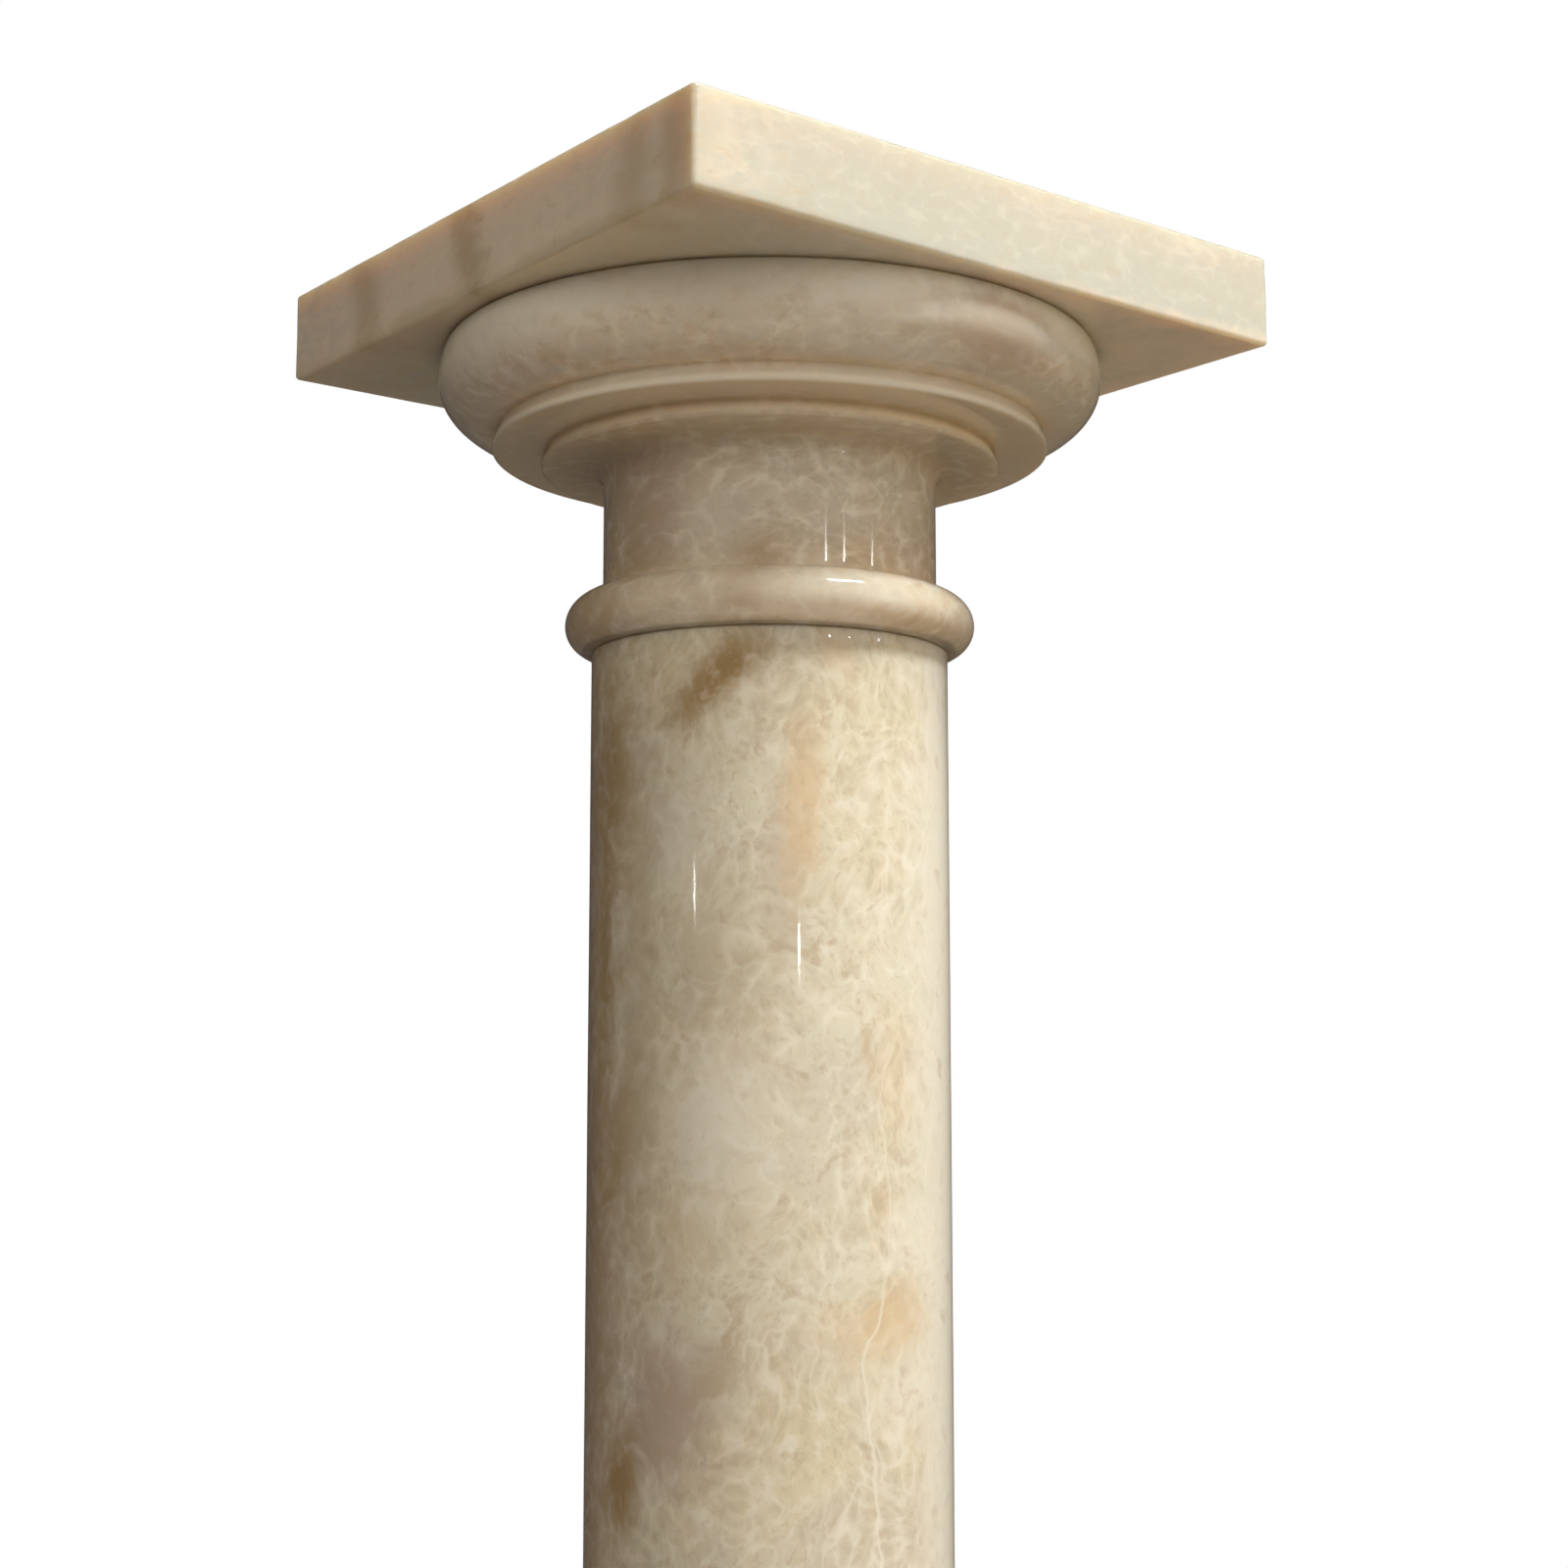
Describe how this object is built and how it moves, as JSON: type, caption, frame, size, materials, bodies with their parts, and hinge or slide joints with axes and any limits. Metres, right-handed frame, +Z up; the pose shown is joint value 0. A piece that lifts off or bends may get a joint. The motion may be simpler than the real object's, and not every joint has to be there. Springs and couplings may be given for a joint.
{
  "type": "stone pedestal column",
  "caption": "Turned onyx pedestal column with a plain round shaft, a ringed Tuscan Doric capital, a square abacus slab and a square plinth, for standing an object on.",
  "frame": {"origin": "middle of the plinth's underside, on the floor", "axes": "+Z up along the column's axis; X and Y square to the sides of the plinth and the abacus"},
  "size_m": [0.25, 0.25, 1],
  "materials": {
    "plinth_onyx": "polished",
    "base_onyx": "polished",
    "shaft_onyx": "polished",
    "capital_onyx": "polished",
    "abacus_onyx": "polished"
  },
  "bodies": {
    "root": {"plinth": "plinth_onyx", "base": "base_onyx", "shaft": "shaft_onyx", "capital": "capital_onyx", "abacus": "abacus_onyx"}
  },
  "joints": []
}
